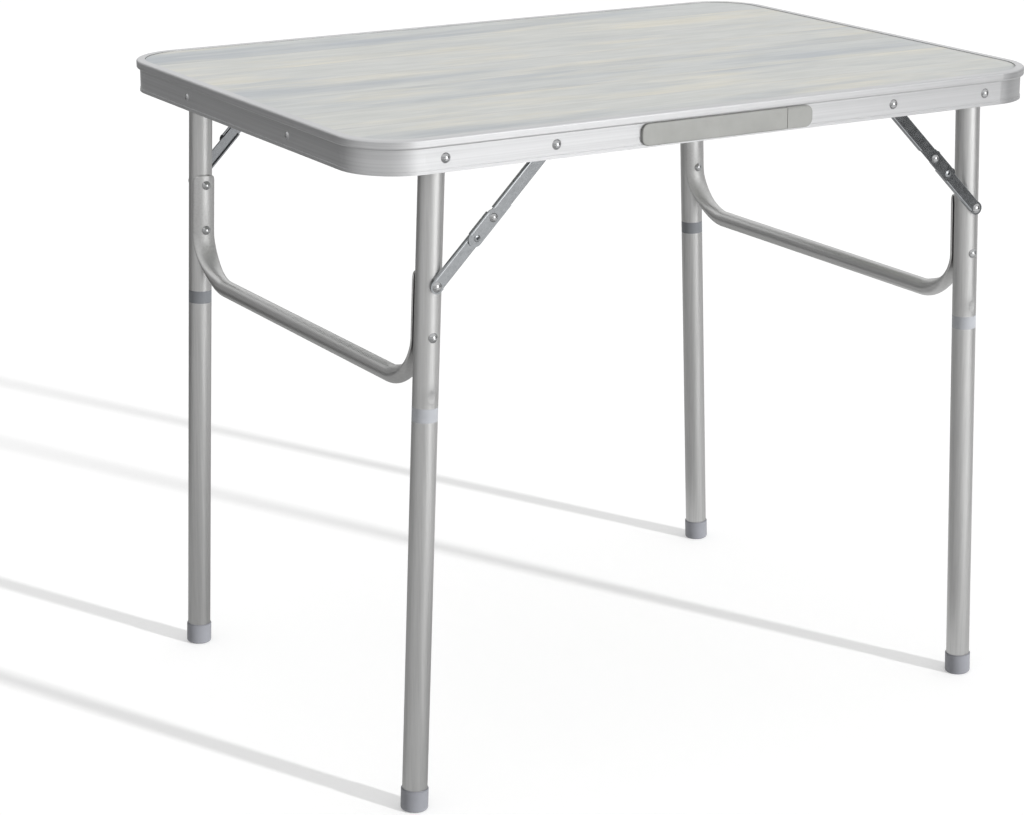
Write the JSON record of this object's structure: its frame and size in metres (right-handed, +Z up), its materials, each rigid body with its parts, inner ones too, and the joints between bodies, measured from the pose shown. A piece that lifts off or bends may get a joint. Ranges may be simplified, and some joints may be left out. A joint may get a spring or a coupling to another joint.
{
  "type": "folding camping table",
  "caption": "Folding camping table with a metal-framed wood-print top, braced leg frames that fold under it, plug-in lower legs and a carrying handle on one side.",
  "frame": {"origin": "on the floor under the middle of the top", "axes": "+X along the long side, +Y towards the back, away from the handle, +Z up"},
  "size_m": [0.7, 0.5, 0.59],
  "materials": {
    "board_print": "satin, printed with pale weathered planks",
    "rail_aluminium": "satin anodised",
    "tube_aluminium": "satin, drawn along the tube",
    "zinc_steel": "zinc plated",
    "rivet_steel": "bright plated",
    "grey_plastic": "smooth moulded",
    "handle_plastic": "smooth moulded"
  },
  "bodies": {
    "tabletop": {"tabletop_panel": "board_print", "edge_rail": "rail_aluminium", "rail_splice_plate": "zinc_steel", "splice_rivets": "rivet_steel", "handle_left_anchor": "handle_plastic", "handle_end_cap": "handle_plastic", "handle_rivets": "rivet_steel", "leg_pivot_rivets": "rivet_steel", "leg_spacers": "zinc_steel", "brace_pivot_rivets": "rivet_steel", "panel_clips": "zinc_steel", "clip_rivets": "rivet_steel", "clip_screws": "zinc_steel"},
    "left_frame": {"left_front_upper_leg": "tube_aluminium", "left_back_upper_leg": "tube_aluminium", "left_crossbar": "tube_aluminium", "left_frame_rivets": "rivet_steel", "left_couplers": "grey_plastic", "left_top_plugs": "grey_plastic"},
    "right_frame": {"right_front_upper_leg": "tube_aluminium", "right_back_upper_leg": "tube_aluminium", "right_crossbar": "tube_aluminium", "right_frame_rivets": "rivet_steel", "right_couplers": "grey_plastic", "right_top_plugs": "grey_plastic"},
    "left_front_lower_leg_body": {"left_front_lower_leg": "tube_aluminium", "left_front_foot": "grey_plastic"},
    "left_back_lower_leg_body": {"left_back_lower_leg": "tube_aluminium", "left_back_foot": "grey_plastic"},
    "right_front_lower_leg_body": {"right_front_lower_leg": "tube_aluminium", "right_front_foot": "grey_plastic"},
    "right_back_lower_leg_body": {"right_back_lower_leg": "tube_aluminium", "right_back_foot": "grey_plastic"},
    "left_front_upper_brace": {"left_front_upper_link": "zinc_steel", "left_front_middle_rivet": "rivet_steel"},
    "left_back_upper_brace": {"left_back_upper_link": "zinc_steel", "left_back_middle_rivet": "rivet_steel"},
    "right_front_upper_brace": {"right_front_upper_link": "zinc_steel", "right_front_middle_rivet": "rivet_steel"},
    "right_back_upper_brace": {"right_back_upper_link": "zinc_steel", "right_back_middle_rivet": "rivet_steel"},
    "left_front_lower_brace": {"left_front_lower_link": "zinc_steel", "left_front_leg_rivet": "rivet_steel"},
    "left_back_lower_brace": {"left_back_lower_link": "zinc_steel", "left_back_leg_rivet": "rivet_steel"},
    "right_front_lower_brace": {"right_front_lower_link": "zinc_steel", "right_front_leg_rivet": "rivet_steel"},
    "right_back_lower_brace": {"right_back_lower_link": "zinc_steel", "right_back_leg_rivet": "rivet_steel"},
    "handle": {"handle_strap": "handle_plastic"}
  },
  "joints": [
    {"name": "left_fold", "type": "hinge", "parent": "tabletop", "child": "left_frame", "pos_m": [-0.278, 0, 0.5726], "axis": [0, 1, 0], "range_deg": [-60, 0]},
    {"name": "left_front_brace_top", "type": "hinge", "parent": "tabletop", "child": "left_front_upper_brace", "pos_m": [-0.174, -0.2391, 0.5726], "axis": [0, 1, 0], "range_deg": [0, 30.11]},
    {"name": "left_front_brace_middle", "type": "hinge", "parent": "left_front_upper_brace", "child": "left_front_lower_brace", "pos_m": [-0.22997, -0.2391, 0.51685], "axis": [0, 1, 0], "range_deg": [-134.69, 0]},
    {"name": "left_front_leg_pull", "type": "slide", "parent": "left_frame", "child": "left_front_lower_leg_body", "axis": [-0.0401, 0, -0.9992], "range_m": [0, 0.045]},
    {"name": "left_back_brace_top", "type": "hinge", "parent": "tabletop", "child": "left_back_upper_brace", "pos_m": [-0.174, 0.2391, 0.5726], "axis": [0, 1, 0], "range_deg": [0, 30.11]},
    {"name": "left_back_brace_middle", "type": "hinge", "parent": "left_back_upper_brace", "child": "left_back_lower_brace", "pos_m": [-0.22997, 0.2391, 0.51685], "axis": [0, 1, 0], "range_deg": [-134.69, 0]},
    {"name": "left_back_leg_pull", "type": "slide", "parent": "left_frame", "child": "left_back_lower_leg_body", "axis": [-0.0401, 0, -0.9992], "range_m": [0, 0.045]},
    {"name": "right_fold", "type": "hinge", "parent": "tabletop", "child": "right_frame", "pos_m": [0.278, 0, 0.5726], "axis": [0, 1, 0], "range_deg": [0, 60]},
    {"name": "right_front_brace_top", "type": "hinge", "parent": "tabletop", "child": "right_front_upper_brace", "pos_m": [0.174, -0.2391, 0.5726], "axis": [0, 1, 0], "range_deg": [-30.11, 0]},
    {"name": "right_front_brace_middle", "type": "hinge", "parent": "right_front_upper_brace", "child": "right_front_lower_brace", "pos_m": [0.22997, -0.2391, 0.51685], "axis": [0, 1, 0], "range_deg": [0, 134.69]},
    {"name": "right_front_leg_pull", "type": "slide", "parent": "right_frame", "child": "right_front_lower_leg_body", "axis": [0.0401, 0, -0.9992], "range_m": [0, 0.045]},
    {"name": "right_back_brace_top", "type": "hinge", "parent": "tabletop", "child": "right_back_upper_brace", "pos_m": [0.174, 0.2391, 0.5726], "axis": [0, 1, 0], "range_deg": [-30.11, 0]},
    {"name": "right_back_brace_middle", "type": "hinge", "parent": "right_back_upper_brace", "child": "right_back_lower_brace", "pos_m": [0.22997, 0.2391, 0.51685], "axis": [0, 1, 0], "range_deg": [0, 134.69]},
    {"name": "right_back_leg_pull", "type": "slide", "parent": "right_frame", "child": "right_back_lower_leg_body", "axis": [0.0401, 0, -0.9992], "range_m": [0, 0.045]},
    {"name": "handle_pull", "type": "slide", "parent": "tabletop", "child": "handle", "axis": [0, -1, 0], "range_m": [0, 0.018]}
  ],
  "couplings": [
    {"joint": "left_front_brace_top", "follows": "left_fold", "ratio": -0.5016},
    {"joint": "left_front_brace_middle", "follows": "left_fold", "ratio": 2.2447},
    {"joint": "left_back_brace_top", "follows": "left_fold", "ratio": -0.5016},
    {"joint": "left_back_brace_middle", "follows": "left_fold", "ratio": 2.2447},
    {"joint": "right_front_brace_top", "follows": "right_fold", "ratio": -0.5016},
    {"joint": "right_front_brace_middle", "follows": "right_fold", "ratio": 2.2447},
    {"joint": "right_back_brace_top", "follows": "right_fold", "ratio": -0.5016},
    {"joint": "right_back_brace_middle", "follows": "right_fold", "ratio": 2.2447}
  ]
}
